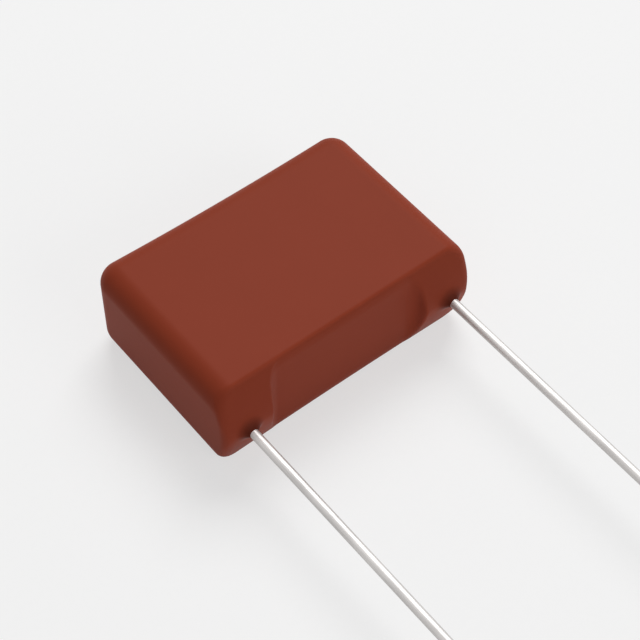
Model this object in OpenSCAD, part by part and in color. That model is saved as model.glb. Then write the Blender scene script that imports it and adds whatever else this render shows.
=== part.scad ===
// Resin-dipped film capacitor with two parallel wire leads.
// A flattened roll of metallised film carries a sprayed zinc contact on each end. A tinned
// wire is welded to each contact, and the whole element is dipped in epoxy resin.
// Millimetres. The body lies on its large face: +X runs along the row of leads, the leads
// leave towards -Y, and +Z is up. The origin is the middle of the resting face.

/* [Leads] */
// Distance between the two lead centres
lead_pitch = 15; // [10:0.5:22.5]
// Diameter of the tinned wire
lead_d = 0.6; // [0.5:0.05:0.8]
// Free length of each lead, from the resin to its cut end
lead_free = 22; // [5:1:30]
// Length of wire that lies against the zinc contact inside the resin
weld_run = 8; // [4:0.5:9]
// Thickness of the wire where it is pressed flat for the weld
flat_t = 0.4; // [0.3:0.05:0.45]
// How deep the flat is sunk into the zinc contact
weld_sink = 0.05; // [0.02:0.01:0.1]
// How far inside the resin the wire turns from flat to round
flat_inset = 0.3; // [0.1:0.05:0.4]

/* [Film element] */
// Thickness of the pressed roll, with its wrap
element_t = 5.4; // [3:0.1:9]
// Width of the pressed roll, with its wrap
element_w = 10.7; // [9.8:0.1:18]
// Thickness of the plain film wrapped round the roll
wrap_t = 0.12; // [0.05:0.01:0.3]
// Thickness of each sprayed zinc contact
zinc_t = 0.45; // [0.3:0.05:0.8]
// Width of the closed slit that the winding pin leaves in the middle of the roll
core_slit_w = 3.6; // [1:0.1:5]
// Height of that slit
core_slit_t = 0.08; // [0.04:0.02:0.3]

/* [Resin coating] */
// Resin over the two large faces
face_cover = 0.7; // [0.4:0.05:1.5]
// Resin over the back of the element, and over its front between the leads
edge_cover = 0.75; // [0.5:0.05:1.5]
// Resin beyond each lead, out to the end faces
end_cover = 1.4; // [1.2:0.05:2.5]
// Radius of the edges away from the leads
edge_r = 1.4; // [0.6:0.1:1.8]
// Radius of the upright edges of the lead face
boot_edge_r = 0.6; // [0.3:0.05:0.9]
// Radius of the long edges of the lead face
brow_r = 0.25; // [0.1:0.05:0.4]
// Gap left between the resin and what it holds
bond_gap = 0.01; // [0.005:0.005:0.03]

/* [Lead boots] */
// How far a boot stands out from the floor between the leads
boot_out = 0.9; // [0.5:0.05:1.2]
// How far a boot reaches from its lead towards the middle of the body
boot_reach = 1.75; // [1.1:0.05:2.5]
// Slope of the flat brow above and below a boot, from upright
brow_tilt = 22; // [15:1:28]
// How far the nose of a boot rounds out beyond the end of its brow
nose_out = 0.12; // [0.05:0.01:0.2]
// How far the resin climbs each wire
meniscus_out = 0.55; // [0.3:0.05:0.8]
// Radius at which the climbing resin begins
meniscus_r = 1.3; // [1:0.05:1.35]

/* [Pocket between the boots] */
// How far the pocket stays below the edge of the large face
pocket_rim = 0.15; // [0.1:0.05:0.6]
// Radius of the pocket's two corners
pocket_corner_r = 1.3; // [0.6:0.05:1.8]
// How much wider the pocket is at its lips than at its floor, on each side
pocket_flare = 0.25; // [0.15:0.05:0.7]
// Radius where the pocket's walls meet its floor
pocket_root_r = 0.7; // [0.1:0.05:1]

/* [Hidden] */
$fn = 64;
// Overshoot of a cutting tool past the face that it cuts
over = 1;
lead_r = lead_d / 2;
lead_x = lead_pitch / 2;
// Outer faces of the zinc contacts and ends of the film roll
contact_x = lead_x - flat_t / 2 + weld_sink;
film_x = contact_x - zinc_t;
// The body
body_l = lead_pitch + lead_d + 2 * end_cover;
body_t = element_t + 2 * face_cover;
body_w = element_w + 2 * edge_cover;
mid_z = body_t / 2;
floor_y = -body_w / 2;
nose_y = floor_y - boot_out;
brow_end_y = nose_y + nose_out;
// The brow starts just behind the floor line, so the long edge of the large face is unbroken
brow_set = 0.05;
brow_top_y = floor_y + brow_set;
brow_end_z = mid_z - (brow_top_y - brow_end_y) / tan(brow_tilt);
resin_end_y = nose_y - meniscus_out;
lead_tip_y = resin_end_y - lead_free;
lead_root_y = -element_w / 2 + weld_run;
// The flat: as much metal in its section as in the round wire
flat_w = PI * lead_r * lead_r / flat_t;
flat_edge_r = 0.1;
flat_end_y = resin_end_y + flat_inset;
resin_colour = [0.56, 0.23, 0.15];
tin_colour = [0.72, 0.71, 0.70];
zinc_colour = [0.55, 0.56, 0.58];
film_colour = [0.80, 0.78, 0.72];
wrap_colour = [0.86, 0.80, 0.58];

function unit(v) = v / norm(v);
// The two points where a round corner of radius r at b meets its sides, or b itself
function corner_points(a, b, c, r) =
    r == 0 ? [b] :
    let (u = unit(a - b), v = unit(c - b), half = acos(u * v) / 2, run = r / tan(half))
    [b + u * run, b + v * run];
function corner_centre(a, b, c, r) =
    let (u = unit(a - b), v = unit(c - b), half = acos(u * v) / 2)
    b + unit(u + v) * r / sin(half);

// A prism over the convex outline points, each with its own corner radius
module rounded_prism(points, radii, length) {
    n = len(points);
    linear_extrude(height = length, center = true)
        polygon([for (i = [0 : n - 1])
            each corner_points(points[(i + n - 1) % n], points[i], points[(i + 1) % n], radii[i])]);
    for (i = [0 : n - 1])
        if (radii[i] > 0)
            translate(corner_centre(points[(i + n - 1) % n], points[i], points[(i + 1) % n], radii[i]))
                cylinder(r = radii[i], h = length, center = true);
}

// Turns a prism so that its outline lies in the Y-Z plane, or in the X-Z plane
module along_x() rotate([90, 0, 90]) children();
module along_y() rotate([90, 0, 0]) children();

// Flattened roll: flat sides and half-round edges, its axis along X
module roll(w, t, l) {
    translate([0, 0, mid_z]) {
        cube([l, w - t, t], center = true);
        for (side = [-1, 1])
            translate([0, side * (w - t) / 2, 0])
                rotate([0, 90, 0]) cylinder(d = t, h = l, center = true);
    }
}

// One straight wire, or with a gap the hole that it leaves in what surrounds it: flat from
// its root on the contact to just inside the skin of the resin, then round to its cut end
module wire(side, gap) {
    translate([side * lead_x, flat_end_y, mid_z])
        rotate([90, 0, 0]) cylinder(r = lead_r + gap, h = flat_end_y - lead_tip_y);
    half_t = flat_t / 2 + gap;
    half_w = flat_w / 2 + gap;
    flat_l = lead_root_y + gap - flat_end_y;
    translate([side * lead_x, flat_end_y + flat_l / 2, mid_z])
        along_y()
            rounded_prism([[half_t, -half_w], [half_t, half_w], [-half_t, half_w], [-half_t, -half_w]],
                          [flat_edge_r, flat_edge_r, flat_edge_r, flat_edge_r], flat_l);
}

// Body section across its thickness: rounded back edges, the long edges of the lead face
// and the flat brows
module side_section() {
    half_t = body_t / 2;
    along_x()
        rounded_prism(
            [[-floor_y, -half_t], [-floor_y, half_t], [brow_top_y, half_t],
             [brow_end_y, brow_end_z], [brow_end_y, -brow_end_z], [brow_top_y, -half_t]],
            [edge_r, edge_r, brow_r, 0, 0, brow_r], body_l + 2 * over);
    nose();
}

// Shallow round nose between the brows, a slice of a wide cylinder
module nose() {
    nose_r = (brow_end_z * brow_end_z + nose_out * nose_out) / (2 * nose_out);
    intersection() {
        translate([0, nose_y + nose_r, 0])
            rotate([0, 90, 0]) cylinder(r = nose_r, h = body_l + 2 * over, center = true, $fn = 360);
        translate([0, brow_end_y, 0])
            cube([body_l + 4 * over, 2 * boot_out, 2 * brow_end_z], center = true);
    }
}

// Body outline seen from above, with small upright edges at the lead face
module plan_outline() {
    half_l = body_l / 2;
    rounded_prism([[half_l, nose_y], [half_l, -floor_y], [-half_l, -floor_y], [-half_l, nose_y]],
                  [boot_edge_r, edge_r, edge_r, boot_edge_r], body_t + 2 * over);
}

// Body outline seen from the lead side
module end_outline() {
    half_l = body_l / 2;
    half_t = body_t / 2;
    along_y()
        rounded_prism([[half_l, -half_t], [half_l, half_t], [-half_l, half_t], [-half_l, -half_t]],
                      [edge_r, edge_r, edge_r, edge_r], 3 * body_w);
}

// What a round edge leaves of the square edge where a brow meets an end face
module brow_edge_waste(sx, sz) {
    brow_length = (mid_z - brow_end_z) / cos(brow_tilt);
    translate([sx * body_l / 2, brow_end_y, sz * brow_end_z])
        rotate([-sz * brow_tilt, 0, 0])
            mirror([sx < 0 ? 1 : 0, 0, 0])
                mirror([0, 0, sz < 0 ? 1 : 0])
                    difference() {
                        translate([-boot_edge_r, -over, -boot_edge_r / 2])
                            cube([boot_edge_r + over, boot_edge_r + over, brow_length + 2 * over]);
                        translate([-boot_edge_r, boot_edge_r, -over])
                            cylinder(r = boot_edge_r, h = brow_length + 4 * over);
                    }
}

// What a ball-shaped corner leaves of the square corner at the back
module corner_waste(sx, sz) {
    translate([sx * (body_l / 2 - edge_r), -floor_y - edge_r, sz * (body_t / 2 - edge_r)])
        difference() {
            translate([sx > 0 ? 0 : -edge_r - over, 0, sz > 0 ? 0 : -edge_r - over])
                cube([edge_r + over, edge_r + over, edge_r + over]);
            sphere(r = edge_r);
        }
}

// The shallow pocket between the boots, open at the bottom
module pocket() {
    half_w = lead_x - boot_reach;
    lip_y = floor_y - boot_out;
    top_z = body_t / 2 - pocket_rim;
    intersection() {
        along_y()
            rounded_prism([[half_w, -body_t], [half_w, top_z], [-half_w, top_z], [-half_w, -body_t]],
                          [0, pocket_corner_r, pocket_corner_r, 0], 2 * body_w + 4 * boot_out);
        rounded_prism([[half_w + pocket_flare * over / boot_out, lip_y - over],
                       [half_w - pocket_flare, floor_y],
                       [-half_w + pocket_flare, floor_y],
                       [-half_w - pocket_flare * over / boot_out, lip_y - over]],
                      [0, pocket_root_r, pocket_root_r, 0], 2 * body_t);
    }
}

// Resin that has climbed a wire: a hollow-sided bell of revolution
module meniscus(side) {
    rise = meniscus_out + nose_out;
    reach = meniscus_r - lead_r;
    arc_r = (reach * reach + rise * rise) / (2 * rise);
    sweep = asin(reach / arc_r);
    steps = 8;
    translate([side * lead_x, brow_end_y, 0])
        rotate([90, 0, 0])
            rotate_extrude()
                polygon(concat(
                    [[0, -edge_cover / 2], [meniscus_r, -edge_cover / 2]],
                    [for (i = [0 : steps])
                        let (a = sweep * i / steps)
                        [meniscus_r - arc_r * sin(a), arc_r * (1 - cos(a))]],
                    [[0, rise]]));
}

// Outside of the dipped body
module body_outside() {
    difference() {
        intersection() {
            side_section();
            plan_outline();
            end_outline();
        }
        for (sx = [-1, 1], sz = [-1, 1]) {
            corner_waste(sx, sz);
            brow_edge_waste(sx, sz);
        }
        pocket();
    }
    for (side = [-1, 1]) meniscus(side);
}

// Cured epoxy: one piece that fills everything round the element and its wires
module resin_coating() {
    color(resin_colour)
        difference() {
            translate([0, 0, mid_z]) body_outside();
            roll(element_w + 2 * bond_gap, element_t + 2 * bond_gap, 2 * (contact_x + bond_gap));
            for (side = [-1, 1]) wire(side, bond_gap);
        }
}

// Two metallised films wound together and pressed flat; the turns are one solid
module film_winding() {
    color(film_colour)
        difference() {
            roll(element_w - 2 * wrap_t - 2 * bond_gap, element_t - 2 * wrap_t - 2 * bond_gap,
                 2 * (film_x - bond_gap));
            translate([0, 0, mid_z])
                cube([body_l, core_slit_w, core_slit_t], center = true);
        }
}

// Plain film wound round the roll and sealed, as wide as the roll
module outer_wrap() {
    color(wrap_colour)
        difference() {
            roll(element_w, element_t, 2 * (film_x - bond_gap));
            roll(element_w - 2 * wrap_t, element_t - 2 * wrap_t, body_l);
        }
}

// Sprayed zinc over one end of the roll, with the seat of the welded wire
module zinc_contact(side) {
    color(zinc_colour)
        difference() {
            translate([side * (contact_x - zinc_t / 2), 0, 0]) roll(element_w, element_t, zinc_t);
            wire(side, bond_gap);
        }
}

// Straight tinned wire, sheared square at both ends
module lead(side) {
    color(tin_colour) wire(side, 0);
}

resin_coating();
film_winding();
outer_wrap();
zinc_contact(-1);  // zinc_contact_left
zinc_contact(1);  // zinc_contact_right
lead(-1);  // lead_left
lead(1);  // lead_right
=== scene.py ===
import math

import bpy
import numpy as np
from mathutils import Matrix, Vector


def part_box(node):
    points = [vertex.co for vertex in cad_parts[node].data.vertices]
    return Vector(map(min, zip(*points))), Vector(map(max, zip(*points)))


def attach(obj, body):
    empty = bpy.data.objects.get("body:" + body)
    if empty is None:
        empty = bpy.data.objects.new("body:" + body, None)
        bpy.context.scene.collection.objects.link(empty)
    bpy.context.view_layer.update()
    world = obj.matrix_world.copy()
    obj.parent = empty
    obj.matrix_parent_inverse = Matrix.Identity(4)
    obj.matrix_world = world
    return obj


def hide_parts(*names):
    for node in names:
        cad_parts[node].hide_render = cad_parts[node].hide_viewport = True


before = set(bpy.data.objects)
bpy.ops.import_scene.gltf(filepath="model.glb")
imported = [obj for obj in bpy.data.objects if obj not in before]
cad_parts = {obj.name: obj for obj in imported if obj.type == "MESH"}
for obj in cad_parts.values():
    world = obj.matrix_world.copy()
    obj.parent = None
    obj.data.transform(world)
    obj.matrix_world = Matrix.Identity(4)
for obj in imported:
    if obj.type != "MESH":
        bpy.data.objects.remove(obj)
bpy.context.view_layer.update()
MM = 0.001


# --- Film winding and its wrap -----------------------------------------------------------
# Two polyester films, each with a vacuum-coated metal layer, wound together on a flat pin
# and pressed. A few turns of plain film are heat sealed round the roll and keep it shut.

def linear(hex_colour):
    """An sRGB hex colour as the linear colour with alpha that a shader socket takes."""
    channels = [int(hex_colour[i:i + 2], 16) / 255 for i in (0, 2, 4)]
    return [c / 12.92 if c <= 0.04045 else ((c + 0.055) / 1.055) ** 2.4 for c in channels] + [1]


def add_node(tree, kind, inputs=None, **settings):
    """One node. inputs sets its sockets, by name, to values or to other nodes' sockets."""
    made = tree.nodes.new(kind)
    for name, value in settings.items():
        setattr(made, name, value)
    for name, value in (inputs or {}).items():
        if isinstance(value, bpy.types.NodeSocket):
            tree.links.new(value, made.inputs[name])
        else:
            made.inputs[name].default_value = value
    return made


def new_material(name):
    """An empty material, its node tree, and a socket with the place on the object."""
    made = bpy.data.materials.new(name)
    made.use_nodes = True
    made.node_tree.nodes.clear()
    return made, made.node_tree, add_node(made.node_tree, "ShaderNodeTexCoord").outputs["Object"]


def surface(tree, inputs):
    """Ends a material with a surface shader that takes these inputs."""
    shader = add_node(tree, "ShaderNodeBsdfPrincipled", inputs)
    add_node(tree, "ShaderNodeOutputMaterial", {"Surface": shader.outputs["BSDF"]})


def dress(node_name, material):
    """Gives a CAD node its material."""
    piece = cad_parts[node_name]
    piece.data.materials.clear()
    piece.data.materials.append(material)


# Metallised polyester: silvery and smooth, with the turns showing as fine lines on the wound
# ends. A turn is 6 microns thick, too fine to draw, so the lines lie 0.75 mm apart. That is
# 2 pi steps: the texture's phase, in radians, is 20 times its coordinate.
LINE_STEP = 0.12 * MM
film, tree, place = new_material("metallised_polyester")
turns = add_node(tree, "ShaderNodeTexWave", {"Vector": place, "Scale": 1 / (20 * LINE_STEP),
                                             "Distortion": 0.6}, bands_direction="Z")
tone = add_node(tree, "ShaderNodeMixRGB", {"Fac": turns.outputs["Fac"], "Color1": linear("aca99f"),
                                           "Color2": linear("d2cfc6")})
ridges = add_node(tree, "ShaderNodeBump", {"Height": turns.outputs["Fac"], "Distance": 0.004 * MM})
surface(tree, {"Base Color": tone.outputs["Color"], "Metallic": 0.7, "Roughness": 0.32,
               "Normal": ridges.outputs["Normal"]})
dress("film_winding", film)

# Plain polyester: clear and glossy, pale yellow where several turns lie on each other, and
# slightly cockled by the heat that sealed it.
COCKLE = 1.5 * MM
wrap, tree, place = new_material("plain_polyester")
cockles = add_node(tree, "ShaderNodeTexNoise", {"Vector": place, "Scale": 1 / COCKLE, "Detail": 2.0})
tone = add_node(tree, "ShaderNodeMixRGB", {"Fac": cockles.outputs["Fac"], "Color1": linear("d9c98c"),
                                           "Color2": linear("e6dcae")})
waves = add_node(tree, "ShaderNodeBump", {"Height": cockles.outputs["Fac"], "Distance": 0.02 * MM})
surface(tree, {"Base Color": tone.outputs["Color"], "Roughness": 0.18, "IOR": 1.57,
               "Normal": waves.outputs["Normal"]})
dress("outer_wrap", wrap)


# --- Zinc contacts -----------------------------------------------------------------------
# Molten zinc blown on to each end of the roll, where it bites between the turns and joins
# the edges of one film. The droplets freeze as they land and leave a grainy grey crust.

# Sprayed zinc: matt grey, rough at the size of its droplets.
DROPLET = 0.08 * MM
zinc, tree, place = new_material("sprayed_zinc")
droplets = add_node(tree, "ShaderNodeTexVoronoi", {"Vector": place, "Scale": 1 / DROPLET})
tone = add_node(tree, "ShaderNodeMixRGB", {"Fac": droplets.outputs["Distance"],
                                           "Color1": linear("a3a5a8"), "Color2": linear("6f7174")})
crust = add_node(tree, "ShaderNodeBump", {"Height": droplets.outputs["Distance"],
                                          "Distance": 0.03 * MM}, invert=True)
surface(tree, {"Base Color": tone.outputs["Color"], "Metallic": 0.85, "Roughness": 0.62,
               "Normal": crust.outputs["Normal"]})
for side in ("left", "right"):
    dress(f"zinc_contact_{side}", zinc)


# --- Leads -------------------------------------------------------------------------------
# Two straight copper-clad steel wires of 0.6 mm, hot tinned and cut from a reel. Each is
# pressed flat and welded to its zinc contact before the dip.

# Hot tinned wire: soft grey metal. The wiping die leaves fine streaks along the wire, and
# handling leaves duller patches a few millimetres long.
STREAK = 0.05 * MM
STREAK_STRETCH = 50
PATCH = 2.5 * MM
PATCH_SHARE = 0.4
tin, tree, place = new_material("hot_tinned_wire")
drawn_out = add_node(tree, "ShaderNodeMapping", {"Vector": place,
                                                   "Scale": (1.0, 1 / STREAK_STRETCH, 1.0)})
streaks = add_node(tree, "ShaderNodeTexNoise", {"Vector": drawn_out.outputs["Vector"],
                                                "Scale": 1 / STREAK, "Detail": 3.0})
patches = add_node(tree, "ShaderNodeTexNoise", {"Vector": place, "Scale": 1 / PATCH, "Detail": 2.0})
mixed = add_node(tree, "ShaderNodeMixRGB", {"Fac": PATCH_SHARE, "Color1": streaks.outputs["Fac"],
                                            "Color2": patches.outputs["Fac"]})
tone = add_node(tree, "ShaderNodeMixRGB", {"Fac": mixed.outputs["Color"], "Color1": linear("a5a2a0"),
                                           "Color2": linear("e2dfdd")})
dull = add_node(tree, "ShaderNodeMapRange", {"Value": patches.outputs["Fac"],
                                             "To Min": 0.42, "To Max": 0.55})
grooves = add_node(tree, "ShaderNodeBump", {"Height": streaks.outputs["Fac"], "Distance": 0.006 * MM})
surface(tree, {"Base Color": tone.outputs["Color"], "Metallic": 1.0, "Roughness": dull.outputs["Result"],
               "Normal": grooves.outputs["Normal"]})
for side in ("left", "right"):
    dress(f"lead_{side}", tin)


# --- Resin coating -----------------------------------------------------------------------
# Filled epoxy in which the element was dipped, leads up, and then cured. It is one skin
# with soft edges: it shrinks hollow along its long faces, stands out in a boot round each
# lead with a pocket between them, and climbs each wire in a meniscus.

# Millimetres. Places along y are from the part's origin, and POCKET_TOP from the middle of its
# thickness.
low, high = (np.array(corner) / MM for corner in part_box("resin_coating"))
wire_low, wire_high = (np.array(corner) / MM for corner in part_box("lead_right"))
HALF_L = (high[0] - low[0]) / 2
HALF_T = (high[2] - low[2]) / 2
BACK_Y = high[1]
MID_Z = (low[2] + high[2]) / 2
FLOOR_Y = -BACK_Y
WIRE_R = (wire_high[0] - wire_low[0]) / 2
WIRE_X = (wire_low[0] + wire_high[0]) / 2
EDGE_R = 1.4
HOLLOW = 0.1
BROW_TOP_Y = FLOOR_Y + 0.05
BROW_TILT = math.radians(22)
NOSE_Y = FLOOR_Y - 0.9
NOSE_R = 7.6
NOSE_EDGE_R = 0.4
BROW_EDGE_R = 0.25
END_EDGE_R = 0.6
END_EDGE_FROM = 7.8
END_EDGE_TO = 9.0
POCKET_HALF_L = 5.5
POCKET_TOP = HALF_T - 0.15
POCKET_CORNER_R = 1.3
POCKET_FLARE = math.radians(15)
POCKET_ROOT_R = 0.7
POCKET_SEAM_R = 0.1
POCKET_LIP_R = 0.2
MENISCUS_RISE = 0.55
MENISCUS_REACH = 1.0
MENISCUS_POWER = 2.5


def both(a, b, r):
    """Inside both shapes, with their shared edge rounded."""
    return np.minimum(np.maximum(a, b), -r) + np.hypot(np.maximum(a + r, 0), np.maximum(b + r, 0))


def rise(value, start, end):
    """0 up to start, 1 from end on, and smooth between them."""
    t = np.clip((value - start) / (end - start), 0, 1)
    return t * t * (3 - 2 * t)


def skin_distance(points):
    """How far each point lies outside the skin of the resin, in millimetres."""
    x, y, z = np.abs(points[:, 0]), points[:, 1], np.abs(points[:, 2] - MID_Z)
    sunk = HOLLOW * (1 - (x / HALF_L) ** 2)
    faces = [x - HALF_L, y - BACK_Y + sunk, z - HALF_T + sunk]
    beyond = [np.maximum(face + EDGE_R, 0) for face in faces]
    block = np.minimum(np.maximum.reduce(faces), -EDGE_R) + np.sqrt(sum(part ** 2 for part in beyond))
    brow = (BROW_TOP_Y + sunk - y) * math.cos(BROW_TILT) + (z - HALF_T) * math.sin(BROW_TILT)
    nose = np.hypot(y - NOSE_Y - NOSE_R, z) - NOSE_R
    edge_r = BROW_EDGE_R + (END_EDGE_R - BROW_EDGE_R) * rise(x, END_EDGE_FROM, END_EDGE_TO)
    body = both(block, both(brow, nose, NOSE_EDGE_R), edge_r)
    wall = (x - POCKET_HALF_L) * math.cos(POCKET_FLARE) + (y - FLOOR_Y) * math.sin(POCKET_FLARE)
    pocket = both(both(wall, y - FLOOR_Y, POCKET_ROOT_R),
                  both(wall, points[:, 2] - MID_Z - POCKET_TOP, POCKET_CORNER_R), POCKET_SEAM_R)
    body = both(body, -pocket, POCKET_LIP_R)
    from_wire = (np.hypot(x - WIRE_X, z) - WIRE_R) / MENISCUS_REACH
    meniscus = MENISCUS_RISE * np.clip(1 - from_wire, 0, 1) ** MENISCUS_POWER
    return body - np.where(y < 0, meniscus, 0)


def ruled(*stretches):
    """Grid lines along one axis, from stretches of (start, end, spacing)."""
    lines = [np.linspace(a, b, round((b - a) / step) + 1) for a, b, step in stretches]
    return np.unique(np.round(np.concatenate(lines), 5))


# The skin starts as a grid on a box round the body, whose points then drop along straight
# rays towards a smaller box inside until they meet the surface. The grid is fine where the
# pocket ends, round the wires and at the edges.
CORE = np.array([8.5, 4.5, 1.8])
BOX = CORE + 2.53
FINE = 0.07
RING = np.array([0, 0.1, 0.2, 0.28, 0.33, 0.39, 0.46, 0.54, 0.64, 0.76, 0.9, 1.06, 1.25, 1.45])
rings = np.concatenate([-RING[:0:-1], RING])
half_lines = ruled((0, 3.9, 0.3), (3.9, 6.0, FINE), (9.0, 9.6, FINE), (9.6, BOX[0], 0.36))
half_lines = np.concatenate([half_lines, WIRE_X + rings])
xs = np.unique(np.round(np.concatenate([-half_lines, half_lines]), 5))
half_lines = ruled((1.55, BOX[2], 0.06))
zs = np.concatenate([-half_lines[::-1], rings, half_lines])
ys = ruled((-BOX[1], -CORE[1], 0.13), (-CORE[1], CORE[1], 0.45), (CORE[1], BOX[1], 0.13))
i, j, k = np.indices((len(xs), len(ys), len(zs)))
outer = (i == 0) | (i == len(xs) - 1) | (j == 0) | (j == len(ys) - 1) | (k == 0) | (k == len(zs) - 1)
number = np.full(outer.shape, -1)
number[outer] = np.arange(outer.sum())
points = np.stack([xs[i[outer]], ys[j[outer]], zs[k[outer]]], axis=1)

# Round each wire the square rings of the grid become round ones, and blend back to square
# ones from ROUND_TO outwards.
ROUND_TO = 0.8
RING_END = RING[-1] + 0.01
front = j[outer] == 0
for side in (-1, 1):
    away = points[:, [0, 2]] - [side * WIRE_X, 0]
    square = np.abs(away).max(axis=1)
    near = front & (square < RING_END) & (square > 0)
    round_off = square[near] / np.hypot(*away[near].T)
    share = 1 - rise(square[near], ROUND_TO, RING[-1])
    away[near] *= (1 + (round_off - 1) * share)[:, None]
    points[near, 0] = side * WIRE_X + away[near, 0]
    points[near, 2] = away[near, 1]

# Each point steps back along its ray by a share of its distance to the skin.
START = 4.5
STEP_SHARE = 0.8
STEPS = 90
core = np.clip(points, -CORE, CORE)
ray = points - core
ray /= np.linalg.norm(ray, axis=1)[:, None]
centre = np.array([0, 0, MID_Z])
out = np.full(len(points), START)
for _ in range(STEPS):
    out -= STEP_SHARE * skin_distance(core + ray * out[:, None] + centre)
skin = core + ray * out[:, None] + centre

quads = []
for axis in range(3):
    for end, turned in ((0, axis != 1), (-1, axis == 1)):
        sheet = np.take(number, end, axis=axis)
        corners = [sheet[:-1, :-1], sheet[1:, :-1], sheet[1:, 1:], sheet[:-1, 1:]]
        quads.append(np.stack(corners[::-1] if turned else corners, axis=-1).reshape(-1, 4))
mesh = bpy.data.meshes.new("resin_skin")
mesh.from_pydata((skin * MM).tolist(), [], np.concatenate(quads).tolist())
mesh.shade_smooth()
resin_skin = bpy.data.objects.new("resin_skin", mesh)
bpy.context.scene.collection.objects.link(resin_skin)

# Filled epoxy: brick red and satin, with a fine orange peel left by the dip. Painted shade
# darkens it round the base of each wire, on the lead side.
PEEL = 0.4 * MM
CLOUD = 3.0 * MM
# Painted shade round the base of each wire: how far from the wire it reaches, how dark it gets at most,
# and where on the lead side it stops.
WIRE_SHADE_REACH = 1.1 * MM
WIRE_SHADE_SHARE = 0.75
WIRE_SHADE_BACK_Y = NOSE_Y + 0.3
epoxy, tree, place = new_material("filled_epoxy")
clouds = add_node(tree, "ShaderNodeTexNoise", {"Vector": place, "Scale": 1 / CLOUD, "Detail": 3.0})
tone = add_node(tree, "ShaderNodeMixRGB", {"Fac": clouds.outputs["Fac"], "Color1": linear("8d3b26"),
                                           "Color2": linear("913d28")})
parts = add_node(tree, "ShaderNodeSeparateXYZ", {"Vector": place})
across = add_node(tree, "ShaderNodeMath", {0: parts.outputs["X"]}, operation="ABSOLUTE")
across = add_node(tree, "ShaderNodeMath", {0: across.outputs["Value"], 1: WIRE_X * MM},
                  operation="SUBTRACT")
above = add_node(tree, "ShaderNodeMath", {0: parts.outputs["Z"], 1: MID_Z * MM}, operation="SUBTRACT")
offset = add_node(tree, "ShaderNodeCombineXYZ", {"X": across.outputs["Value"],
                                                 "Y": above.outputs["Value"]})
away = add_node(tree, "ShaderNodeVectorMath", {0: offset.outputs["Vector"]}, operation="LENGTH")
# Painted shade: strongest at the wire's edge and gone a reach away from it, only on the lead side.
wire_shade_falloff = add_node(tree, "ShaderNodeMapRange", {"Value": away.outputs["Value"], "From Min": WIRE_R * MM,
                                             "From Max": WIRE_SHADE_REACH, "To Min": WIRE_SHADE_SHARE,
                                             "To Max": 0.0},
                interpolation_type="SMOOTHSTEP")
lead_side = add_node(tree, "ShaderNodeMath", {0: parts.outputs["Y"], 1: WIRE_SHADE_BACK_Y * MM},
                     operation="LESS_THAN")
wire_shade = add_node(tree, "ShaderNodeMath", {0: wire_shade_falloff.outputs["Result"], 1: lead_side.outputs["Value"]},
                 operation="MULTIPLY")
# Painted shade: the resin colour is mixed towards near black-brown at each wire's base.
tone = add_node(tree, "ShaderNodeMixRGB", {"Fac": wire_shade.outputs["Value"],
                                           "Color1": tone.outputs["Color"], "Color2": linear("3a1208")})
peel = add_node(tree, "ShaderNodeTexNoise", {"Vector": place, "Scale": 1 / PEEL, "Detail": 1.0})
dimples = add_node(tree, "ShaderNodeBump", {"Height": peel.outputs["Fac"], "Distance": 0.004 * MM})
surface(tree, {"Base Color": tone.outputs["Color"], "Roughness": 0.5, "Specular IOR Level": 0.06,
               "Normal": dimples.outputs["Normal"]})
mesh.materials.append(epoxy)
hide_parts("resin_coating")
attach(resin_skin, "root")


# --- Floor, light and camera -------------------------------------------------------------
# White paper under a large soft light from the right and behind, with weak fill from the
# other sides. Metres, as the frame is.

FLOOR_SIZE = 3.0
floor_mesh = bpy.data.meshes.new("paper_floor")
half = FLOOR_SIZE / 2
floor_mesh.from_pydata([(-half, -half, 0), (half, -half, 0), (half, half, 0), (-half, half, 0)], [],
                       [(0, 1, 2, 3)])
floor = bpy.data.objects.new("paper_floor", floor_mesh)
bpy.context.scene.collection.objects.link(floor)

def seen_directly(tree):
    """A socket that is 1 for what the camera sees, also in a mirror or through a clear piece."""
    path = add_node(tree, "ShaderNodeLightPath")
    seen = path.outputs["Is Camera Ray"]
    for kind in ("Is Glossy Ray", "Is Transmission Ray"):
        seen = add_node(tree, "ShaderNodeMath", {0: seen, 1: path.outputs[kind]},
                        operation="MAXIMUM").outputs["Value"]
    return seen


# White paper: matt, and lifted towards pure white where it is seen, so its shadow stays soft.
FIBRE = 0.5 * MM
WHITE_SHARE = 0.6
paper, tree, place = new_material("white_paper")
fibres = add_node(tree, "ShaderNodeTexNoise", {"Vector": place, "Scale": 1 / FIBRE, "Detail": 2.0})
tone = add_node(tree, "ShaderNodeMixRGB", {"Fac": fibres.outputs["Fac"], "Color1": linear("f4f4f4"),
                                           "Color2": linear("f8f8f8")})
matt = add_node(tree, "ShaderNodeBsdfDiffuse", {"Color": tone.outputs["Color"]})
white = add_node(tree, "ShaderNodeEmission", {"Color": linear("ffffff"), "Strength": 1.0})
share = add_node(tree, "ShaderNodeMath", {0: seen_directly(tree), 1: WHITE_SHARE}, operation="MULTIPLY")
mixed = add_node(tree, "ShaderNodeMixShader", {0: share.outputs["Value"], 1: matt.outputs["BSDF"],
                                               2: white.outputs["Emission"]})
add_node(tree, "ShaderNodeOutputMaterial", {"Surface": mixed.outputs["Shader"]})
floor_mesh.materials.append(paper)

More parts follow.
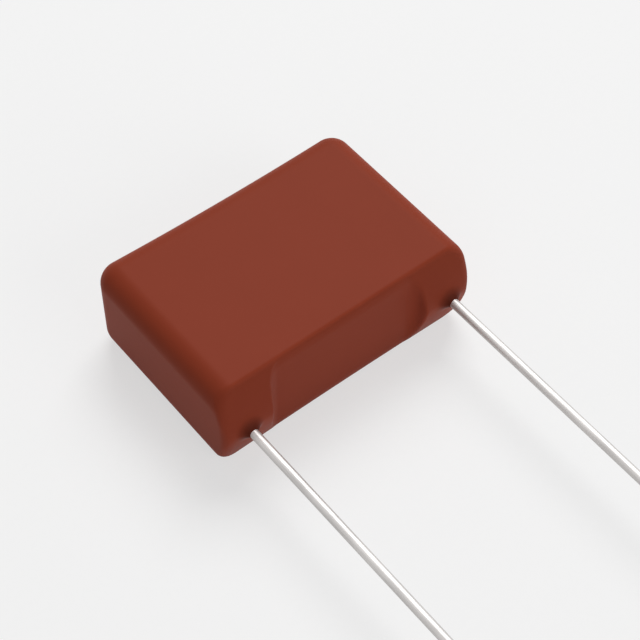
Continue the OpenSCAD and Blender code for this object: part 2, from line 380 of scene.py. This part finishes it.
# The world is white where it is seen, and lights the part only weakly.
AMBIENT = 0.18
world = bpy.data.worlds.new("studio")
world.use_nodes = True
world.node_tree.nodes.clear()
tree = world.node_tree
strength = add_node(tree, "ShaderNodeMapRange", {"Value": seen_directly(tree), "To Min": AMBIENT,
                                                 "To Max": 1.0})
sky = add_node(tree, "ShaderNodeBackground", {"Color": linear("ffffff"),
                                              "Strength": strength.outputs["Result"]})
add_node(tree, "ShaderNodeOutputWorld", {"Surface": sky.outputs["Background"]})
bpy.context.scene.world = world


LAMP_DISTANCE = 0.5
LAMP_SIZE = 0.3


def softbox(name, direction, level):
    """A square lamp that faces the part and lights a surface turned to it at this level."""
    lamp = bpy.data.lights.new(name, "AREA")
    lamp.size = LAMP_SIZE
    lamp.energy = level * (math.pi * LAMP_DISTANCE) ** 2
    holder = bpy.data.objects.new(name, lamp)
    towards = Vector(direction).normalized()
    holder.location = towards * LAMP_DISTANCE
    holder.rotation_euler = towards.to_track_quat("Z", "Y").to_euler()
    bpy.context.scene.collection.objects.link(holder)


softbox("key_softbox", (0.55, 0.5, 1.0), 0.68)
softbox("front_fill", (0.25, -1.0, 0.5), 0.22)
softbox("left_fill", (-1.0, -0.8, 0.9), 0.06)

# The camera stands high over the front left corner and looks at the lead side.
CAMERA_DISTANCE = 106.7 * MM
camera_data = bpy.data.cameras.new("camera")
camera_data.sensor_width = 36
camera_data.lens = 100.07
camera_data.clip_start = 0.005
camera = bpy.data.objects.new("camera", camera_data)
azimuth, elevation, roll = (math.radians(angle) for angle in (-39.14, 52.82, 0.61))
backwards = Vector((math.sin(azimuth) * math.cos(elevation), -math.cos(azimuth) * math.cos(elevation),
                    math.sin(elevation)))
aim = Vector((0.94, -2.80, 2.35)) * MM
camera.matrix_world = (Matrix.Translation(aim + backwards * CAMERA_DISTANCE)
                       @ backwards.to_track_quat("Z", "Y").to_matrix().to_4x4()
                       @ Matrix.Rotation(roll, 4, "Z"))
bpy.context.scene.collection.objects.link(camera)
bpy.context.scene.camera = camera
bpy.context.scene.view_settings.view_transform = "Standard"
